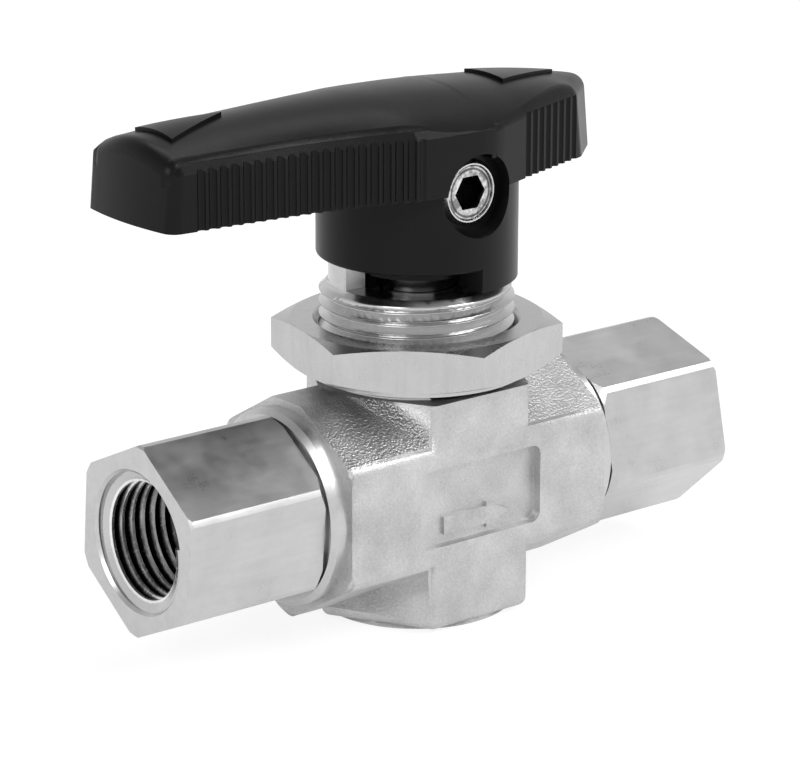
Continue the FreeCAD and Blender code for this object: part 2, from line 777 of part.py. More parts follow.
def bulged_end():
    """Drum whose side is the long wing's bulged end, leaning inward on its way up."""
    axis = Vector(LONG_WING_TIP + TIP_BULGE_RADIUS, 0, WING_BLANK_BOTTOM)
    height = WING_BLANK_TOP - WING_BLANK_BOTTOM
    return Part.makeCone(TIP_BULGE_RADIUS, TIP_BULGE_RADIUS - TIP_LEAN, height, axis, ALONG_Z)


def tip_corner_edges(shape):
    """Upright edges where the long wing's sides meet its end."""
    found = []
    for edge in shape.Edges:
        box = edge.BoundBox
        near_tip = box.XMax < LONG_WING_WAIST_X
        off_axis = abs(box.YMin) > 1
        if near_tip and off_axis and box.ZLength > 1 and box.YLength < 1:
            found.append(edge)
    return found


def long_wing_block(inset, low, high):
    sides = [long_wing_side(direction, inset) for direction in (-1, 1)]
    block = wing_block(sides[0], sides[1], low, high).common(bulged_end())
    return block.makeFillet(TIP_CORNER_ROUND, tip_corner_edges(block))


def rounded_rim():
    """Drum just outside the band's end, its upper edge rounded off at the ledge."""
    wall = TIP_BULGE_RADIUS - TIP_RIM_INSET
    rim_radius = wall - TIP_TOP_ROUND
    rim_height = LEDGE_HEIGHT
    centre_height = rim_height - TIP_TOP_ROUND
    halfway = TIP_TOP_ROUND * math.sqrt(0.5)
    foot = Vector(-wall - TIP_TOP_ROUND, 0, WING_BLANK_BOTTOM)
    round_start = Vector(-wall, 0, centre_height)
    round_middle = Vector(-rim_radius - halfway, 0, centre_height + halfway)
    round_end = Vector(-rim_radius, 0, rim_height)
    peak = Vector(0, 0, rim_height + TIP_BULGE_RADIUS / 2)
    low_centre = Vector(0, 0, WING_BLANK_BOTTOM)
    edges = [
        Part.LineSegment(low_centre, foot).toShape(),
        Part.LineSegment(foot, round_start).toShape(),
        Part.Arc(round_start, round_middle, round_end).toShape(),
        Part.LineSegment(round_end, peak).toShape(),
        Part.LineSegment(peak, low_centre).toShape(),
    ]
    drum = Part.Face(Part.Wire(edges)).revolve(ORIGIN, ALONG_Z, 360)
    drum.translate(Vector(LONG_WING_TIP + TIP_BULGE_RADIUS, 0, 0))
    return drum


def ledge_edges(shape):
    """Upper edges of the long wing's two sides, as far as the shoulder."""
    found = []
    for edge in edges_at_height(shape, LEDGE_HEIGHT):
        box = edge.BoundBox
        if box.XLength > box.YLength:
            found.append(edge)
    return found


def tip_top_edges(shape):
    """Edges where the long wing's end meets the crown."""
    found = []
    for edge in shape.Edges:
        box = edge.BoundBox
        if box.XMax < LONG_WING_WAIST_X and box.ZMin > LEDGE_HEIGHT - LEDGE_WIDTH:
            if box.YLength > box.XLength / 2:
                found.append(edge)
    return found


def long_wing():
    """The ribbed band, with a sloping ledge on its sides, and the narrower part above it."""
    band = long_wing_block(0, WING_BLANK_BOTTOM, LEDGE_HEIGHT)
    band = band.makeChamfer(LEDGE_WIDTH, ledge_edges(band)).common(rounded_rim())
    upper = long_wing_block(LEDGE_WIDTH, WING_BLANK_BOTTOM, WING_BLANK_TOP).common(crown())
    upper = upper.makeFillet(TIP_TOP_ROUND, tip_top_edges(upper))
    return band.common(crown()).fuse(upper)


def nose_wedge():
    """Pointed end of the short wing, leaning inward on its way up."""
    corner = Vector(NOSE_CORNER_X, short_wing_half_width(NOSE_CORNER_X), WING_BLANK_BOTTOM)
    start = Vector(corner.x, corner.y, 0)
    touch = tangent_point(start, NOSE_TIP - NOSE_ROUND, NOSE_ROUND, -1)
    flank = start.sub(touch)
    beyond = start.add(flank.multiply(2 * HUB_RADIUS / flank.Length))
    outline = Part.Wire([
        Part.LineSegment(beyond, touch).toShape(),
        Part.Arc(touch, Vector(NOSE_TIP, 0, 0), Vector(touch.x, -touch.y, 0)).toShape(),
        Part.LineSegment(Vector(touch.x, -touch.y, 0), Vector(beyond.x, -beyond.y, 0)).toShape(),
        Part.LineSegment(Vector(beyond.x, -beyond.y, 0), beyond).toShape(),
    ])
    wedge = Part.Face(outline).extrude(Vector(-NOSE_LEAN, 0, WING_BLANK_TOP - WING_BLANK_BOTTOM))
    wedge.translate(Vector(0, 0, WING_BLANK_BOTTOM))
    return wedge


def short_wing_top_edges(shape, along_sides):
    """Upper edges along the short wing's two sides, or else those round its nose."""
    found = []
    for edge in shape.Edges:
        points = [vertex.Point for vertex in edge.Vertexes]
        above = min(point.z for point in points) > SHOULDER_EDGE_HEIGHT
        start = min(point.x for point in points)
        reaches_nose = max(point.x for point in points) > SHORT_WING_EDGE_X
        starts_at_hub = start < SHORT_WING_EDGE_X
        if above and start > SHOULDER_X and reaches_nose and starts_at_hub == along_sides:
            found.append(edge)
    return found


def short_wing():
    """Tapered block with a pointed nose; its edge rounding runs out toward the hub."""
    sides = [short_wing_side(direction) for direction in (-1, 1)]
    block = wing_block(sides[0], sides[1], WING_BLANK_BOTTOM, WING_BLANK_TOP)
    wing = block.common(nose_wedge()).common(crown())
    wing = wing.makeFillet(EDGE_ROUND_AT_NOSE, short_wing_top_edges(wing, False))
    for direction in (-1, 1):
        for edge in short_wing_top_edges(wing, True):
            first, last = edge.Vertexes[0].Point, edge.Vertexes[-1].Point
            radii = [EDGE_ROUND_AT_HUB, EDGE_ROUND_AT_NOSE]
            if first.x > last.x:
                radii.reverse()
            if first.y * direction > 0:
                wing = wing.makeFillet(radii[0], radii[1], [edge])
                break
    return wing


def crown_section(x, half_width, edge_height):
    """Arch over the handle at x, reaching a little past the edge it is drawn through."""
    top = crown_height(x)
    rise = top - edge_height
    radius = (half_width ** 2 + rise ** 2) / (2 * rise)
    reach = 1.2 * half_width
    foot = top - radius + math.sqrt(radius ** 2 - reach ** 2)
    left = Vector(x, -reach, foot)
    right = Vector(x, reach, foot)
    low_left = Vector(x, -reach, HUB_BOTTOM)
    low_right = Vector(x, reach, HUB_BOTTOM)
    return Part.Wire([
        Part.Arc(left, Vector(x, 0, top), right).toShape(),
        Part.LineSegment(right, low_right).toShape(),
        Part.LineSegment(low_right, low_left).toShape(),
        Part.LineSegment(low_left, left).toShape(),
    ])


def between(x, start, end):
    """Height at x on the straight line between two (x, height) points."""
    share = (x - start[0]) / (end[0] - start[0])
    return start[1] + share * (end[1] - start[1])


def crown_edge(x):
    """Half width and height of the edge that the crown is arched through at x."""
    root = (LONG_WING_ROOT_X, LEDGE_HEIGHT)
    shoulder = (SHOULDER_X, SHOULDER_EDGE_HEIGHT)
    middle = (SHORT_WING_EDGE_X, LEDGE_HEIGHT + SHORT_WING_EDGE_RISE)
    nose = (NOSE_TIP, LEDGE_HEIGHT - NOSE_EDGE_DROP)
    if x < LONG_WING_ROOT_X:
        return long_wing_half_width(x) - LEDGE_WIDTH, LEDGE_HEIGHT
    if x < SHOULDER_X:
        root_width = long_wing_half_width(LONG_WING_ROOT_X) - LEDGE_WIDTH
        shoulder_width = on_hub(SHOULDER_X, 1).y
        width = between(x, (root[0], root_width), (shoulder[0], shoulder_width))
        return width, between(x, root, shoulder)
    if x < SHORT_WING_EDGE_X:
        return short_wing_half_width(x), between(x, shoulder, middle)
    return short_wing_half_width(x), between(x, middle, nose)


def crown():
    """Domed top of the handle, arched through the inner edge of the ledge."""
    start = LONG_WING_TIP - 1
    count = math.ceil((NOSE_TIP + 1 - start) / CROWN_STEP)
    sections = []
    for step in range(count + 1):
        x = start + step * CROWN_STEP
        half_width, edge_height = crown_edge(x)
        sections.append(crown_section(x, half_width, edge_height))
    return Part.makeLoft(sections, True, False)


def wing_underside():
    """What is taken away below the wings; the long one's underside rises to its tip."""
    outline = [
        (LONG_WING_TIP - 2, 0),
        (LONG_WING_TIP - 2, WING_BOTTOM + TIP_UNDERSIDE_RISE),
        (0, WING_BOTTOM),
        (NOSE_TIP + 2, WING_BOTTOM),
        (NOSE_TIP + 2, 0),
    ]
    points = [Vector(x, -2 * HUB_RADIUS, z) for x, z in outline]
    face = Part.Face(Part.makePolygon(points + points[:1]))
    return face.extrude(Vector(0, 4 * HUB_RADIUS, 0))


def handle_wings():
    return long_wing().fuse(short_wing()).cut(wing_underside())


def groove_pair(x, side, top):
    """Upright grooves opposite each other in the two sides of a wing."""
    pair = []
    for y in (-side, side):
        place = Vector(x, y, WING_BLANK_BOTTOM)
        height = top - WING_BLANK_BOTTOM
        pair.append(Part.makeCylinder(RIB_GROOVE_RADIUS, height, place, ALONG_Z))
    return pair


def rib_grooves():
    grooves = []
    offset = RIB_GROOVE_RADIUS - RIB_GROOVE_DEPTH
    for count in range(LONG_WING_GROOVES):
        x = LONG_WING_FIRST_GROOVE_X + count * RIB_PITCH
        side = long_wing_half_width(x) + offset
        grooves += groove_pair(x, side, LEDGE_HEIGHT + 1)
    step = RIB_PITCH * math.cos(math.radians(SHORT_WING_TAPER))
    for count in range(SHORT_WING_GROOVES):
        x = SHORT_WING_FIRST_GROOVE_X + count * step
        side = short_wing_half_width(x) + offset
        grooves += groove_pair(x, side, LEDGE_HEIGHT - SHORT_GROOVE_DROP)
    return grooves


def pointer_mark(base_x, tip_x):
    """Raised triangle on the crown."""
    points = [
        Vector(tip_x, 0, WING_BLANK_BOTTOM),
        Vector(base_x, -POINTER_HALF_WIDTH, WING_BLANK_BOTTOM),
        Vector(base_x, POINTER_HALF_WIDTH, WING_BLANK_BOTTOM),
    ]
    height = WING_BLANK_TOP - WING_BLANK_BOTTOM
    triangle = Part.Face(Part.makePolygon(points + points[:1])).extrude(Vector(0, 0, height))
    raised = crown()
    raised.translate(Vector(0, 0, POINTER_RELIEF))
    below = box_between((-TALL, -TALL, 0), (TALL, TALL, LEDGE_HEIGHT))
    return triangle.common(raised).cut(below)


def wing_pockets():
    """Hollows moulded into the underside of the long wing, with ribs between them."""
    near = -INSERT_RADIUS - POCKET_WALL - HUB_RADIUS / 2
    far = LONG_WING_TIP + 1.5 * POCKET_WALL
    width = LONG_WING_TIP_HALF_WIDTH - POCKET_WALL
    length = (near - far - POCKET_RIBS * POCKET_RIB) / (POCKET_RIBS + 1)
    pockets = []
    for count in range(POCKET_RIBS + 1):
        start = far + count * (length + POCKET_RIB)
        low = (start, -width, WING_BLANK_BOTTOM)
        high = (start + length, width, LEDGE_HEIGHT - POCKET_ROOF_DROP)
        pockets.append(box_between(low, high))
    return pockets


def handle_hub():
    hub = upright_cylinder(HUB_RADIUS, HUB_BOTTOM, HUB_TOP)
    return hub.makeFillet(HUB_EDGE_ROUND, edges_at_height(hub, HUB_BOTTOM))


def handle():
    insert_top = STEM_TOP + INSERT_TOP_WALL
    sleeve = upright_cylinder(SLEEVE_RADIUS, HUB_BOTTOM - SLEEVE_DROP, HUB_BOTTOM + 1)
    lug = sector(LUG_INNER_RADIUS, HUB_RADIUS, HUB_BOTTOM - LUG_DROP, HUB_BOTTOM + 1,
                 -TRAVEL + LUG_END_ANGLE, TRAVEL - 2 * LUG_END_ANGLE)
    pointers = [pointer_mark(*LONG_POINTER), pointer_mark(*SHORT_POINTER)]
    solid = handle_wings().fuse([handle_hub(), sleeve, lug] + pointers)
    hollows = rib_grooves() + wing_pockets()
    hollows.append(upright_cylinder(INSERT_RADIUS + RUNNING_FIT, 0, insert_top))
    hollows.append(front_cylinder(SCREW_HOLE_RADIUS, SCREW_HEIGHT, -TALL, -SCREW_HOLE_FLOOR))
    boss_hole = INSERT_BOSS_RADIUS + RUNNING_FIT
    hollows.append(front_cylinder(boss_hole, SCREW_HEIGHT, -TALL, 0))
    return solid.cut(hollows).removeSplitter()


def face_rim(shape, y):
    """The round edge of a front cylinder's face."""
    return [edge for edge in shape.Edges if abs(edge.BoundBox.YMax - y) < 1e-4]


def handle_insert():
    """Metal sleeve inside the handle, with a side boss that carries the set screw."""
    sleeve = upright_cylinder(INSERT_RADIUS, INSERT_BOTTOM, STEM_TOP)
    boss = front_cylinder(INSERT_BOSS_RADIUS, SCREW_HEIGHT, -INSERT_BOSS_FACE, 0)
    boss = boss.makeChamfer(INSERT_BOSS_CHAMFER, face_rim(boss, -INSERT_BOSS_FACE))
    drive = double_flat_bar(STEM_RADIUS + RUNNING_FIT, STEM_FLAT + RUNNING_FIT,
                            INSERT_BOTTOM - 1, STEM_TOP + 1)
    screw_hole = front_cylinder(SCREW_RADIUS + RUNNING_FIT, SCREW_HEIGHT, -TALL, 0)
    return sleeve.fuse(boss).cut([drive, screw_hole])


def set_screw():
    tip = -STEM_FLAT - RUNNING_FIT
    screw = front_cylinder(SCREW_RADIUS, SCREW_HEIGHT, -SCREW_FACE, tip)
    screw = screw.makeChamfer(SCREW_CHAMFER, [edge for edge in screw.Edges if edge.Closed])
    corners = hexagon_points(SCREW_SOCKET_FLATS, 0, in_front(-SCREW_FACE))
    socket = Part.Face(Part.makePolygon(corners + corners[:1]))
    return screw.cut(socket.extrude(Vector(0, SCREW_SOCKET_DEPTH, 0)))


def main():
    os.makedirs("parts", exist_ok=True)
    save("body", valve_body())
    turns = {"inlet": (-1, INLET_HEX_TURN), "outlet": (1, OUTLET_HEX_TURN)}
    for place, (side, turn_degrees) in turns.items():
        save(place + "_connector", end_connector(side, turn_degrees))
        save(place + "_connector_oring", connector_ring(side))
        save(place + "_seat", seat_ring(side))
        save(place + "_seat_carrier", seat_carrier(side))
        save(place + "_seat_oring", seat_back_ring(side))
        save(place + "_disc_springs", disc_springs(side))
    save("lower_bearing", lower_bearing())
    save("upper_bearing", upper_bearing())
    save("gland", gland())
    save("stem_oring", stem_ring())
    save("stem_backup_ring", stem_backup_ring())
    save("gland_oring", gland_ring())
    save("retainer_nut", retainer_nut())
    save("ball_stem", ball_stem())
    save("panel_nut", panel_nut())
    save("handle", handle())
    save("handle_insert", handle_insert())
    save("set_screw", set_screw())


main()
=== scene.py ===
import math

import bpy
from mathutils import Matrix, Vector


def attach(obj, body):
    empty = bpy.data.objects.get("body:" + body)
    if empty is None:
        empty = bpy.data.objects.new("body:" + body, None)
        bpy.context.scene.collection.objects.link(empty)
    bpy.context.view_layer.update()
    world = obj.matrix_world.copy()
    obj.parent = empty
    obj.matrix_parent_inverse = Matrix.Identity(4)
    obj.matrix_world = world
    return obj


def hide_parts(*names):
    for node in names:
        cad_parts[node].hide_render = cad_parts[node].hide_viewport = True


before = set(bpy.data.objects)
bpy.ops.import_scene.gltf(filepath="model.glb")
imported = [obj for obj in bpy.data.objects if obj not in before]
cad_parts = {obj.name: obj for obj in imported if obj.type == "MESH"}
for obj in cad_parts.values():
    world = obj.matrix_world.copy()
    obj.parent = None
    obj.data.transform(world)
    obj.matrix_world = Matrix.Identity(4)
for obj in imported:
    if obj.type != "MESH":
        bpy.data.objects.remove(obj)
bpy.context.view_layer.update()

# Looks of a panel-mount ball valve: cast body, machined connectors, nut and threads,
# black moulded handle. All lengths are in metres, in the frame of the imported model.

MM = 0.001
BASE_TO_AXIS = 20.4 * MM

# Camera, matched to the photograph's outline
CAMERA_PLACE = Vector((-329.430, -405.613, 197.433)) * MM
CAMERA_RIGHT = Vector((0.779717, -0.626127, 0.002385))
CAMERA_UP = Vector((0.184247, 0.233080, 0.954844))
CAMERA_BACK = Vector((-0.598409, -0.744069, 0.297098))
LENS_MM = 159.105
SENSOR_MM = 36.0

# Neck thread
NECK_RADIUS = 15.05 * MM
NECK_ROOT_RADIUS = 13.85 * MM
NECK_PITCH = 1.94 * MM
NECK_THREAD_START = 37.03 * MM
NECK_THREAD_TURNS = 7.4
NECK_GROOVE_SHARE = 0.86
NECK_ROOT_SHARE = 0.1
NECK_CUTTER_REACH = 0.6 * MM
NECK_CUT_HEIGHT = 36.7 * MM
NECK_TOP = 51.95 * MM

# Tapered pipe thread in the ports
PORT_FACE = 52.8 * MM
PORT_THREAD_START = 51.9 * MM
PORT_PITCH = 1.814 * MM
PORT_CREST_RADIUS = 9.16 * MM
PORT_ROOT_RADIUS = 10.6 * MM
PORT_THREAD_TURNS = 7.3
PORT_TAPER = 1 / 32
PORT_RIDGE_SHARE = 0.94
PORT_CREST_SHARE = 0.26
PORT_START_TURN = math.radians(100)
# Depths into the port where the painted highlight at the mouth starts to fade and where it is
# gone
PORT_MOUTH_HIGHLIGHT_DEPTH = 1.7 * MM
PORT_MOUTH_HIGHLIGHT_GONE = 2.3 * MM
RIDGE_BURIED = 0.7 * MM
STEPS_PER_TURN = 64

# Soft cast edges of the sunk panel and the arrow in it
PANEL_HALF_LENGTH = 12.3 * MM
PANEL_HALF_HEIGHT = 6.7 * MM
PANEL_FRONT = -14.0 * MM
PANEL_EDGE_WIDTH = 0.28 * MM
PANEL_SHARP_ANGLE = math.radians(40)
FLAT_ANGLE = math.radians(0.2)

# Where the handle's two wings meet over the hub: the slit's place, the arched top's radius
# and centre there, and how far the filler stays below the surface
HUB_RADIUS = 15.5 * MM
SEAM_START = 1.9 * MM
SEAM_END = 2.85 * MM
SEAM_FOOT = 73.2 * MM
SEAM_ARCH_RADIUS = 27.25 * MM
SEAM_ARCH_CENTRE = 55.3 * MM
SEAM_SUNK = 0.01 * MM
CYLINDER_SIDES = 256

# Set screw: its front face, the height of its axis and the ring of painted shade at the
# chamfer round its socket
SCREW_FACE = -12.6 * MM
SCREW_HEIGHT = 67.7 * MM
SCREW_SHADE_RING_RADIUS = 3.65 * MM
SCREW_SHADE_RING_HALF_WIDTH = 0.12 * MM

# Studio and materials
WHITE = (1.0, 1.0, 1.0, 1.0)
FLOOR_SIZE = 12
LAMP_TARGET = Vector((0, 0, 0.04))
BUMP_FILTER_WIDTH = 0.6


def grey(level):
    return (level, level, level, 1.0)


def clear_selection():
    bpy.ops.object.select_all(action="DESELECT")


def make_active(piece):
    clear_selection()
    piece.select_set(True)
    bpy.context.view_layer.objects.active = piece


def apply_modifier(piece, modifier):
    make_active(piece)
    bpy.ops.object.modifier_apply(modifier=modifier.name)


def apply_place(piece):
    make_active(piece)
    bpy.ops.object.transform_apply(location=True, rotation=True, scale=True)


def select_where(piece, wanted):
    """In object mode, selects the vertices whose place passes the test."""
    for polygon in piece.data.polygons:
        polygon.select = False
    for edge in piece.data.edges:
        edge.select = False
    for vertex in piece.data.vertices:
        vertex.select = wanted(vertex.co)


def ridge_profile(name, place, height, width, rotation):
    """A flat quad to be wound along an axis, its base and crest edges across the axis."""
    clear_selection()
    bpy.ops.mesh.primitive_plane_add(size=1, location=place, rotation=rotation)
    profile = bpy.context.active_object
    profile.name = name
    profile.scale = (height, width, 1)
    apply_place(profile)
    return profile


def narrow_edge(profile, wanted, share, centre):
    """Shortens one edge of a profile to a share of its width."""
    select_where(profile, wanted)
    make_active(profile)
    bpy.ops.object.mode_set(mode="EDIT")
    bpy.ops.transform.resize(value=(share, share, share), center_override=centre)
    bpy.ops.object.mode_set(mode="OBJECT")


def wind(profile, axis, pitch, turns):
    """Winds a profile's outline into a closed helical solid."""
    make_active(profile)
    bpy.ops.object.mode_set(mode="EDIT")
    bpy.ops.mesh.select_all(action="SELECT")
    bpy.ops.mesh.delete(type="ONLY_FACE")
    bpy.ops.object.mode_set(mode="OBJECT")
    screw = profile.modifiers.new("wind", "SCREW")
    screw.axis = axis
    screw.angle = 2 * math.pi * turns
    screw.screw_offset = pitch * turns
    screw.steps = int(STEPS_PER_TURN * turns)
    screw.render_steps = int(STEPS_PER_TURN * turns)
    apply_modifier(profile, screw)
    make_active(profile)
    bpy.ops.object.mode_set(mode="EDIT")
    bpy.ops.mesh.select_all(action="SELECT")
    bpy.ops.mesh.remove_doubles(threshold=1e-7)
    bpy.ops.mesh.select_all(action="DESELECT")
    bpy.ops.mesh.select_mode(type="EDGE")
    bpy.ops.mesh.select_non_manifold()
    bpy.ops.mesh.fill_holes(sides=0)
    bpy.ops.mesh.select_all(action="SELECT")
    bpy.ops.mesh.normals_make_consistent(inside=False)
    bpy.ops.mesh.select_mode(type="VERT")
    bpy.ops.object.mode_set(mode="OBJECT")
    return profile


def neck_thread_cutter():
    """The groove between the neck's ridges, as a solid to be cut away."""
    outer = NECK_RADIUS + NECK_CUTTER_REACH
    depth = outer - NECK_ROOT_RADIUS
    width = NECK_PITCH * NECK_GROOVE_SHARE * depth / (NECK_RADIUS - NECK_ROOT_RADIUS)
    middle = (NECK_ROOT_RADIUS + outer) / 2
    place = (middle, 0, NECK_THREAD_START)
    groove = ridge_profile("neck_groove", place, depth, width, (math.pi / 2, 0, 0))
    root = (NECK_ROOT_RADIUS, 0, NECK_THREAD_START)
    narrow_edge(groove, lambda co: co.x < middle, NECK_ROOT_SHARE, root)
    return wind(groove, "Z", NECK_PITCH, NECK_THREAD_TURNS)


def select_panel_edges(body):
    """Selects the sharp edges of the sunk panel and of the arrow in it."""
    make_active(body)
    bpy.ops.object.mode_set(mode="EDIT")
    bpy.ops.mesh.select_mode(type="EDGE")
    bpy.ops.mesh.select_all(action="DESELECT")
    bpy.ops.mesh.edges_select_sharp(sharpness=PANEL_SHARP_ANGLE)
    bpy.ops.object.mode_set(mode="OBJECT")
    near_panel = []
    for vertex in body.data.vertices:
        along = abs(vertex.co.x) < PANEL_HALF_LENGTH
        up = abs(vertex.co.z - BASE_TO_AXIS) < PANEL_HALF_HEIGHT
        near_panel.append(along and up and vertex.co.y < PANEL_FRONT)
    for edge in body.data.edges:
        edge.select = edge.select and all(near_panel[index] for index in edge.vertices)


def soften_panel(body):
    select_panel_edges(body)
    bpy.ops.object.mode_set(mode="EDIT")
    bpy.ops.mesh.bevel(offset=PANEL_EDGE_WIDTH, segments=3, clamp_overlap=True)
    bpy.ops.mesh.select_mode(type="VERT")
    bpy.ops.object.mode_set(mode="OBJECT")


def even_shading(piece, degrees):
    """Smooths the rounded edges and keeps the large faces flat."""
    smooth_by_angle(piece, degrees)
    weighted = piece.modifiers.new("even shading", "WEIGHTED_NORMAL")
    weighted.mode = "FACE_AREA"
    weighted.weight = 100
    weighted.keep_sharp = True
    apply_modifier(piece, weighted)


def closed_copy(node_name, name):
    """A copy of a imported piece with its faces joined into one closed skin."""
    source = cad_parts[node_name]
    piece = source.copy()
    piece.data = source.data.copy()
    piece.name = name
    bpy.context.collection.objects.link(piece)
    make_active(piece)
    bpy.ops.object.mode_set(mode="EDIT")
    bpy.ops.mesh.select_all(action="SELECT")
    bpy.ops.mesh.remove_doubles(threshold=1e-6)
    bpy.ops.object.mode_set(mode="OBJECT")
    return piece


def combine(piece, tool, operation):
    """Cuts the tool out of the piece, or keeps what they share, and removes the tool."""
    modifier = piece.modifiers.new("combine", "BOOLEAN")
    modifier.operation = operation
    modifier.solver = "EXACT"
    modifier.object = tool
    apply_modifier(piece, modifier)
    bpy.data.objects.remove(tool)


def threaded_body():
    """The cast body with soft panel edges and its neck thread cut."""
    body = closed_copy("body", "body_threaded")
    bpy.ops.object.mode_set(mode="EDIT")
    bpy.ops.mesh.select_all(action="SELECT")
    bpy.ops.mesh.dissolve_limited(angle_limit=FLAT_ANGLE)
    bpy.ops.object.mode_set(mode="OBJECT")
    soften_panel(body)
    combine(body, neck_thread_cutter(), "DIFFERENCE")
    return body


def add_cylinder(name, radius, depth, place, rotation):
    clear_selection()
    bpy.ops.mesh.primitive_cylinder_add(vertices=CYLINDER_SIDES, radius=radius, depth=depth,
                                        location=place, rotation=rotation)
    cylinder = bpy.context.active_object
    cylinder.name = name
    apply_place(cylinder)
    return cylinder


def handle_seam():
    """Fills the narrow slit that is left between the handle's two wings over the hub."""
    middle = (SEAM_START + SEAM_END) / 2
    filler = add_cylinder("handle_seam", SEAM_ARCH_RADIUS - SEAM_SUNK, SEAM_END - SEAM_START,
                          (middle, 0, SEAM_ARCH_CENTRE), (0, math.pi / 2, 0))
    height = SEAM_ARCH_RADIUS
    column = add_cylinder("seam_column", HUB_RADIUS - SEAM_SUNK, height,
                          (0, 0, SEAM_FOOT + height / 2), (0, 0, 0))
    combine(filler, column, "INTERSECT")
    return filler


def port_thread(name, side):
    """Tapered ridges wound inside a connector's mouth, with their feet in its wall."""
    mean = (PORT_CREST_RADIUS + PORT_ROOT_RADIUS) / 2
    narrowing = PORT_TAPER / mean
    at_axis = 1 - narrowing * PORT_FACE
    height = (PORT_ROOT_RADIUS - PORT_CREST_RADIUS) * at_axis
    width = PORT_PITCH * PORT_RIDGE_SHARE
    length = PORT_PITCH * PORT_THREAD_TURNS
    start = PORT_THREAD_START if side < 0 else PORT_THREAD_START - length
    place = (side * start, 0, -mean * at_axis)
    ridge = ridge_profile(name, place, width, height, (math.pi / 2, 0, 0))
    crest = (side * start, 0, -PORT_CREST_RADIUS * at_axis)
    middle = place[2]
    narrow_edge(ridge, lambda co: co.z > middle, PORT_CREST_SHARE, crest)
    select_where(ridge, lambda co: co.z < middle)
    for edge in ridge.data.edges:
        ends = [ridge.data.vertices[index].select for index in edge.vertices]
        edge.select = all(ends)
    make_active(ridge)
    bpy.ops.object.mode_set(mode="EDIT")
    bpy.ops.mesh.extrude_edges_move(TRANSFORM_OT_translate={"value": (0, 0, -RIDGE_BURIED)})
    bpy.ops.object.mode_set(mode="OBJECT")
    wind(ridge, "X", PORT_PITCH, PORT_THREAD_TURNS)
    taper = ridge.modifiers.new("taper", "SIMPLE_DEFORM")
    taper.deform_method = "TAPER"
    taper.deform_axis = "X"
    taper.factor = side * narrowing / at_axis * length
    apply_modifier(ridge, taper)
    make_active(ridge)
    bpy.ops.object.mode_set(mode="EDIT")
    bpy.ops.mesh.select_all(action="SELECT")
    bpy.ops.transform.rotate(value=PORT_START_TURN, orient_axis="X", center_override=(0, 0, 0))
    bpy.ops.transform.translate(value=(0, 0, BASE_TO_AXIS))
    bpy.ops.object.mode_set(mode="OBJECT")
    return ridge


# Materials: small helpers

def new_material(name):
    material = bpy.data.materials.new(name)
    material.use_nodes = True
    tree = material.node_tree
    shader = tree.nodes["Principled BSDF"]
    return material, tree, shader


def object_coordinates(tree, scale=(1, 1, 1)):
    """Object coordinates, stretched along one axis where the finish has a direction."""
    coordinates = tree.nodes.new("ShaderNodeTexCoord")
    mapping = tree.nodes.new("ShaderNodeMapping")
    mapping.inputs["Scale"].default_value = scale
    tree.links.new(coordinates.outputs["Object"], mapping.inputs["Vector"])
    return mapping.outputs["Vector"]


def noise(tree, vector, scale, detail=3.0, roughness=0.5):
    texture = tree.nodes.new("ShaderNodeTexNoise")
    texture.inputs["Scale"].default_value = scale
    texture.inputs["Detail"].default_value = detail
    texture.inputs["Roughness"].default_value = roughness
    tree.links.new(vector, texture.inputs["Vector"])
    return texture.outputs["Fac"]


def remap(tree, value, low_in, high_in, low_out, high_out):
    node = tree.nodes.new("ShaderNodeMapRange")
    node.inputs["From Min"].default_value = low_in
    node.inputs["From Max"].default_value = high_in
    node.inputs["To Min"].default_value = low_out
    node.inputs["To Max"].default_value = high_out
    tree.links.new(value, node.inputs["Value"])
    return node.outputs["Result"]


def math_node(tree, operation, first, second):
    node = tree.nodes.new("ShaderNodeMath")
    node.operation = operation
    for index, value in enumerate((first, second)):
        if isinstance(value, (int, float)):
            node.inputs[index].default_value = value
        else:
            tree.links.new(value, node.inputs[index])
    return node.outputs["Value"]


def grey_between(tree, factor, dark, light):
    ramp = tree.nodes.new("ShaderNodeValToRGB")
    ramp.color_ramp.elements[0].color = dark
    ramp.color_ramp.elements[1].color = light
    tree.links.new(factor, ramp.inputs["Fac"])
    return ramp.outputs["Color"]


def bump(tree, shader, height, distance, strength=1.0, under=None):
    node = tree.nodes.new("ShaderNodeBump")
    node.inputs["Strength"].default_value = strength
    node.inputs["Distance"].default_value = distance
    node.inputs["Filter Width"].default_value = BUMP_FILTER_WIDTH
    tree.links.new(height, node.inputs["Height"])
    if under is not None:
        tree.links.new(under, node.inputs["Normal"])
    tree.links.new(node.outputs["Normal"], shader.inputs["Normal"])
    return node.outputs["Normal"]


def slope_mask(tree):
    """One on the arm's sloping faces, whose normals point up or down and outward."""
    coordinates = tree.nodes.new("ShaderNodeTexCoord")
    parts = tree.nodes.new("ShaderNodeSeparateXYZ")
    tree.links.new(coordinates.outputs["Normal"], parts.inputs["Vector"])
    upward = math_node(tree, "ABSOLUTE", parts.outputs["Z"], 0)
    above = remap(tree, upward, 0.55, 0.75, 0, 1)
    below = remap(tree, upward, 0.93, 0.98, 1, 0)
    return math_node(tree, "MULTIPLY", above, below)


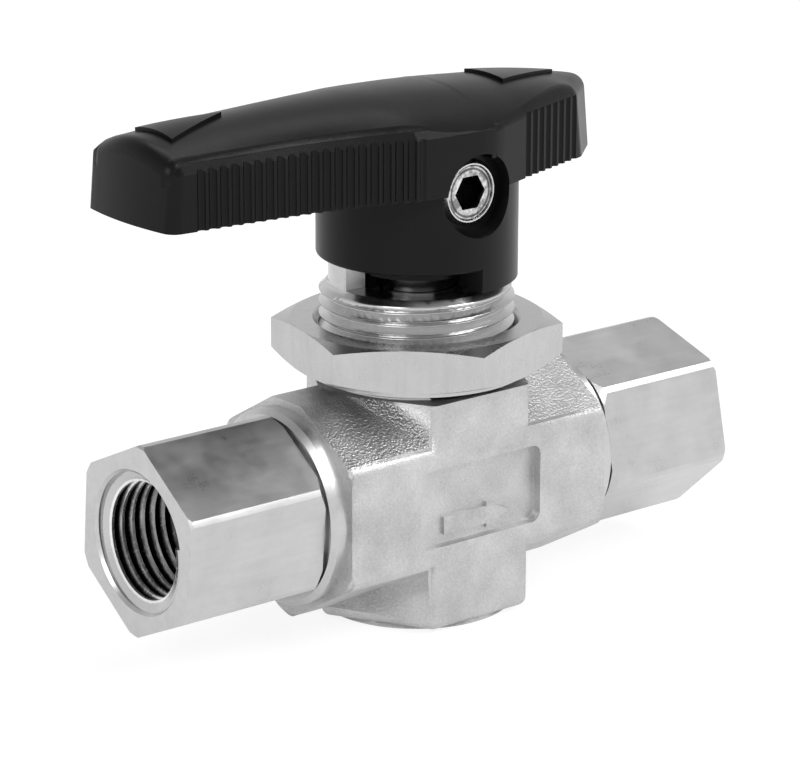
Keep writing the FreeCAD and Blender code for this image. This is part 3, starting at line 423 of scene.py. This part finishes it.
def cast_steel():
    """Blasted casting: fine grain all over, small pebbles on the sloping faces."""
    material, tree, shader = new_material("cast_steel")
    shader.inputs["Metallic"].default_value = 1.0
    vector = object_coordinates(tree)
    grain = noise(tree, vector, 2700, 3, 0.7)
    pebble = noise(tree, vector, 2700, 1, 0.4)
    patches = noise(tree, vector, 130, 3, 0.55)
    tone = math_node(tree, "MULTIPLY_ADD", grain, 0.8)
    tree.links.new(patches, tone.node.inputs[2])
    tone = remap(tree, tone, 0.6, 1.2, 0, 1)
    colour = grey_between(tree, tone, grey(0.44), grey(0.68))
    tree.links.new(colour, shader.inputs["Base Color"])
    rough = remap(tree, patches, 0.3, 0.7, 0.40, 0.50)
    tree.links.new(rough, shader.inputs["Roughness"])
    fine = bump(tree, shader, grain, 0.00014, 0.9)
    slope = slope_mask(tree)
    coarse = math_node(tree, "MULTIPLY", remap(tree, pebble, 0.35, 0.65, 0, 1), slope)
    bump(tree, shader, coarse, 0.00007, 0.8, fine)
    return material


def machined_steel(name, base, roughness, stretch, streak_scale, depth):
    """Turned or milled steel with faint tool marks in one direction and soft mottling."""
    material, tree, shader = new_material(name)
    shader.inputs["Metallic"].default_value = 1.0
    streaks = noise(tree, object_coordinates(tree, stretch), streak_scale, 3, 0.6)
    patches = noise(tree, object_coordinates(tree), 140, 5, 0.65)
    tone = math_node(tree, "MULTIPLY_ADD", streaks, 0.5)
    tree.links.new(patches, tone.node.inputs[2])
    tone = remap(tree, tone, 0.4, 1.1, 0, 1)
    colour = grey_between(tree, tone, grey(0.86 * base), grey(1.10 * base))
    tree.links.new(colour, shader.inputs["Base Color"])
    rough = remap(tree, patches, 0.3, 0.7, roughness - 0.04, roughness + 0.05)
    tree.links.new(rough, shader.inputs["Roughness"])
    bump(tree, shader, streaks, depth, 0.4)
    return material


def distance_from_axis(tree, vector, axis, centre_height):
    """Distance from a level axis along X or Y at the given height."""
    parts = tree.nodes.new("ShaderNodeSeparateXYZ")
    tree.links.new(vector, parts.inputs["Vector"])
    across = parts.outputs["Y"] if axis == "X" else parts.outputs["X"]
    up = math_node(tree, "SUBTRACT", parts.outputs["Z"], centre_height)
    across_squared = math_node(tree, "MULTIPLY", across, across)
    up_squared = math_node(tree, "MULTIPLY", up, up)
    return math_node(tree, "SQRT", math_node(tree, "ADD", across_squared, up_squared), 0)


def socket_steel():
    """Light face of the set screw with mottled wear; painted shade darkens a ring at the
    chamfer round the socket and makes the socket behind the face near black.
    """
    material, tree, shader = new_material("screw_steel")
    shader.inputs["Metallic"].default_value = 1.0
    vector = object_coordinates(tree)
    parts = tree.nodes.new("ShaderNodeSeparateXYZ")
    tree.links.new(vector, parts.inputs["Vector"])
    scuffs = noise(tree, vector, 750, 4, 0.6)
    edge = math_node(tree, "MULTIPLY_ADD", scuffs, 0.0003)
    tree.links.new(parts.outputs["Y"], edge.node.inputs[2])
    # Painted shade: behind the front face, in the socket, the colour goes near black
    outside_socket_shade = remap(tree, edge, SCREW_FACE + 0.0002, SCREW_FACE + 0.0009, 1, 0)
    radius = distance_from_axis(tree, vector, "Y", SCREW_HEIGHT)
    # Painted shade: a dark ring at the chamfer round the socket
    outward = math_node(tree, "SUBTRACT", radius, SCREW_SHADE_RING_RADIUS)
    from_shade_ring = math_node(tree, "ABSOLUTE", outward, 0)
    half = SCREW_SHADE_RING_HALF_WIDTH
    off_shade_ring = remap(tree, from_shade_ring, half, 2 * half, 0.15, 1)
    worn = remap(tree, scuffs, 0.38, 0.58, 0.25, 1)
    face = math_node(tree, "MULTIPLY", worn, off_shade_ring)
    bright = math_node(tree, "MULTIPLY", face, outside_socket_shade)
    colour = grey_between(tree, bright, grey(0.05), grey(0.72))
    tree.links.new(colour, shader.inputs["Base Color"])
    rough = remap(tree, scuffs, 0.3, 0.7, 0.16, 0.34)
    tree.links.new(rough, shader.inputs["Roughness"])
    bump(tree, shader, scuffs, 0.00010, 0.6)
    return material


def port_steel():
    """Cut pipe thread with painted light: painted highlights on the crests and at the mouth,
    painted shade on the flanks and roots further in.
    """
    material, tree, shader = new_material("port_steel")
    shader.inputs["Metallic"].default_value = 1.0
    vector = object_coordinates(tree)
    chatter = noise(tree, vector, 1300, 3, 0.6)
    radius = distance_from_axis(tree, vector, "X", BASE_TO_AXIS)
    parts = tree.nodes.new("ShaderNodeSeparateXYZ")
    tree.links.new(vector, parts.inputs["Vector"])
    along = math_node(tree, "ABSOLUTE", parts.outputs["X"], 0)
    depth = math_node(tree, "SUBTRACT", PORT_FACE, along)
    narrowed = math_node(tree, "MULTIPLY_ADD", depth, PORT_TAPER)
    tree.links.new(radius, narrowed.node.inputs[2])
    uneven = math_node(tree, "MULTIPLY_ADD", chatter, 0.00025)
    tree.links.new(narrowed, uneven.node.inputs[2])
    # Painted highlight on the crests and at the mouth; the flanks and roots further in get
    # near-black painted shade
    highlight_to_radius = PORT_CREST_RADIUS + 0.25 * MM
    crest_highlight = remap(tree, uneven, highlight_to_radius, highlight_to_radius + 0.3 * MM, 1, 0)
    mouth_highlight = remap(tree, depth, PORT_MOUTH_HIGHLIGHT_DEPTH, PORT_MOUTH_HIGHLIGHT_GONE, 0.62, 0)
    bright = math_node(tree, "MAXIMUM", crest_highlight, mouth_highlight)
    colour = grey_between(tree, bright, grey(0.06), grey(0.88))
    tree.links.new(colour, shader.inputs["Base Color"])
    rough = remap(tree, chatter, 0.3, 0.7, 0.16, 0.30)
    tree.links.new(rough, shader.inputs["Roughness"])
    bump(tree, shader, chatter, 0.00004, 0.4)
    return material


def black_nylon():
    """Moulded black nylon with a fine matt grain and a faint grey bloom."""
    material, tree, shader = new_material("handle_nylon")
    vector = object_coordinates(tree)
    grain = noise(tree, vector, 3000, 3, 0.6)
    bloom = noise(tree, vector, 80, 4, 0.6)
    colour = grey_between(tree, bloom, grey(0.002), grey(0.006))
    tree.links.new(colour, shader.inputs["Base Color"])
    rough = remap(tree, bloom, 0.3, 0.7, 0.28, 0.36)
    tree.links.new(rough, shader.inputs["Roughness"])
    shader.inputs["Specular IOR Level"].default_value = 0.16
    bump(tree, shader, grain, 0.00004, 0.4)
    return material


def polymer(name, dark, light, roughness):
    material, tree, shader = new_material(name)
    vector = object_coordinates(tree)
    cloud = noise(tree, vector, 300, 3, 0.5)
    colour = grey_between(tree, cloud, dark, light)
    tree.links.new(colour, shader.inputs["Base Color"])
    rough = remap(tree, cloud, 0.3, 0.7, roughness - 0.04, roughness + 0.04)
    tree.links.new(rough, shader.inputs["Roughness"])
    bump(tree, shader, noise(tree, vector, 4200, 2, 0.5), 0.00001, 0.3)
    return material


def floor_material():
    """White studio floor that keeps a soft shadow."""
    material, tree, shader = new_material("studio_floor")
    shader.inputs["Base Color"].default_value = grey(0.92)
    shader.inputs["Roughness"].default_value = 0.9
    path = tree.nodes.new("ShaderNodeLightPath")
    mirrored = math_node(tree, "MULTIPLY", path.outputs["Is Glossy Ray"], 0.32)
    seen = math_node(tree, "MULTIPLY", path.outputs["Is Camera Ray"], 0.75)
    share = math_node(tree, "MAXIMUM", seen, mirrored)
    glow = tree.nodes.new("ShaderNodeEmission")
    glow.inputs["Color"].default_value = WHITE
    glow.inputs["Strength"].default_value = 1.12
    mix = tree.nodes.new("ShaderNodeMixShader")
    tree.links.new(share, mix.inputs["Fac"])
    tree.links.new(shader.outputs["BSDF"], mix.inputs[1])
    tree.links.new(glow.outputs["Emission"], mix.inputs[2])
    tree.links.new(mix.outputs["Shader"], tree.nodes["Material Output"].inputs["Surface"])
    return material


# Stage: floor, world, lamps and camera

def add_floor():
    clear_selection()
    bpy.ops.mesh.primitive_plane_add(size=FLOOR_SIZE, location=(0, 0, 0))
    floor = bpy.context.active_object
    floor.name = "floor"
    floor.data.materials.append(floor_material())


def set_world():
    """White to the camera; a softly graded pale studio in the metal."""
    world = bpy.data.worlds.new("studio")
    bpy.context.scene.world = world
    world.use_nodes = True
    tree = world.node_tree
    background = tree.nodes["Background"]
    coordinates = tree.nodes.new("ShaderNodeTexCoord")
    parts = tree.nodes.new("ShaderNodeSeparateXYZ")
    tree.links.new(coordinates.outputs["Generated"], parts.inputs["Vector"])
    ceiling = remap(tree, parts.outputs["Z"], 0.2, 0.8, 0, 1)
    colour = grey_between(tree, ceiling, grey(0.86), grey(0.36))
    path = tree.nodes.new("ShaderNodeLightPath")
    mix = tree.nodes.new("ShaderNodeMix")
    mix.data_type = "RGBA"
    tree.links.new(path.outputs["Is Camera Ray"], mix.inputs["Factor"])
    tree.links.new(colour, mix.inputs["A"])
    mix.inputs["B"].default_value = WHITE
    tree.links.new(mix.outputs["Result"], background.inputs["Color"])
    background.inputs["Strength"].default_value = 1.0


def add_softbox(name, direction, distance, width, height, watts):
    """A soft rectangular lamp that faces the valve."""
    place = LAMP_TARGET + Vector(direction).normalized() * distance
    lamp = bpy.data.lights.new(name, "AREA")
    lamp.shape = "RECTANGLE"
    lamp.size = width
    lamp.size_y = height
    lamp.energy = watts
    holder = bpy.data.objects.new(name, lamp)
    bpy.context.collection.objects.link(holder)
    holder.location = place
    holder.rotation_euler = (LAMP_TARGET - place).to_track_quat("-Z", "Y").to_euler()


def add_lamps():
    add_softbox("key_box", (0.38, -0.75, 0.70), 1.0, 0.45, 0.36, 4.0)
    add_softbox("edge_box", (0.60, -0.34, 0.72), 1.0, 0.16, 0.16, 1.2)
    add_softbox("left_box", (-0.95, -0.30, 0.60), 1.1, 0.6, 0.4, 3.0)
    add_softbox("top_box", (0.3, 0.40, 1.0), 1.2, 0.8, 0.5, 3.0)


def add_camera():
    camera = bpy.data.objects.new("camera", bpy.data.cameras.new("camera"))
    bpy.context.collection.objects.link(camera)
    camera.data.sensor_width = SENSOR_MM
    camera.data.lens = LENS_MM
    turn = Matrix((CAMERA_RIGHT, CAMERA_UP, CAMERA_BACK)).transposed()
    camera.rotation_euler = turn.to_euler()
    camera.location = CAMERA_PLACE
    bpy.context.scene.camera = camera


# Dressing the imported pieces

def dress(node_name, material):
    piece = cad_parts[node_name]
    piece.data.materials.clear()
    piece.data.materials.append(material)


def dress_all(steel):
    connector = steel["connector"]
    finishes = {
        "inlet_connector": connector,
        "outlet_connector": connector,
        "panel_nut": steel["nut"],
        "handle_insert": steel["small"],
        "set_screw": socket_steel(),
        "ball_stem": steel["polished"],
        # Gland and retainer nut deep under the handle: near-black steel as painted shade
        "gland": steel["painted_shade"],
        "retainer_nut": steel["painted_shade"],
    }
    rubber = polymer("seal_rubber", grey(0.010), grey(0.020), 0.45)
    white = polymer("seat_polymer", (0.70, 0.69, 0.65, 1), (0.80, 0.79, 0.75, 1), 0.4)
    tan = polymer("bearing_polymer", (0.52, 0.44, 0.32, 1), (0.62, 0.54, 0.41, 1), 0.42)
    for place in ("inlet", "outlet"):
        finishes[place + "_connector_oring"] = rubber
        finishes[place + "_seat_oring"] = rubber
        finishes[place + "_seat"] = white
        finishes[place + "_seat_carrier"] = connector
        finishes[place + "_disc_springs"] = steel["small"]
    finishes["stem_oring"] = rubber
    finishes["gland_oring"] = rubber
    finishes["stem_backup_ring"] = white
    finishes["lower_bearing"] = tan
    finishes["upper_bearing"] = tan
    for node_name, material in finishes.items():
        dress(node_name, material)


def dress_body(body, casting, turned, milled):
    """Casting below, turned finish on the threaded neck, and on the stop's front end a milled
    finish painted a much lighter grey as painted light.
    """
    body.data.materials.clear()
    for material in (casting, turned, milled):
        body.data.materials.append(material)
    for polygon in body.data.polygons:
        polygon.material_index = 0
        if polygon.center.z > NECK_CUT_HEIGHT + 0.1 * MM:
            polygon.material_index = 1
        # Only the stop's end that faces -Y gets the light milled finish: painted light on that
        # one face
        if polygon.center.z > NECK_TOP and polygon.normal.y < -0.9:
            if abs(polygon.center.y) < 1 * MM:
                polygon.material_index = 2


def smooth_by_angle(piece, degrees):
    make_active(piece)
    bpy.ops.object.shade_smooth_by_angle(angle=math.radians(degrees))


def main():
    steel = {
        "connector": machined_steel("machined_steel", 0.60, 0.30, (0.12, 1, 1), 900, 0.00002),
        "nut": machined_steel("nut_steel", 0.54, 0.27, (1, 1, 0.15), 700, 0.00002),
        "neck": machined_steel("neck_steel", 0.58, 0.20, (0.2, 0.2, 1), 1500, 0.00001),
        # Stop's front end: milled finish with its grey raised to 0.92, painted light
        "stop": machined_steel("stop_face_painted_light", 0.92, 0.40, (1, 1, 0.08), 2600, 0.00004),
        "small": machined_steel("insert_steel", 0.66, 0.22, (1, 0.3, 1), 1500, 0.00001),
        # Near-black steel: painted shade on the parts deep under the handle
        "painted_shade": machined_steel("painted_shade_steel", 0.10, 0.45, (1, 1, 0.3), 1200, 0.00001),
        "polished": machined_steel("polished_steel", 0.66, 0.14, (1, 1, 0.3), 900, 0.000008),
    }
    dress_all(steel)
    nylon = black_nylon()
    dress("handle", nylon)
    seam = handle_seam()
    seam.data.materials.append(nylon)
    smooth_by_angle(seam, 30)
    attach(seam, "rotor")
    body = threaded_body()
    dress_body(body, cast_steel(), steel["neck"], steel["stop"])
    even_shading(body, 32)
    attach(body, "valve_body")
    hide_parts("body")
    threads = port_steel()
    for name, side in (("inlet_thread", -1), ("outlet_thread", 1)):
        thread = port_thread(name, side)
        thread.data.materials.append(threads)
        smooth_by_angle(thread, 40)
        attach(thread, "valve_body")
    add_floor()
    set_world()
    add_lamps()
    add_camera()
    bpy.context.scene.view_settings.view_transform = "Standard"


main()
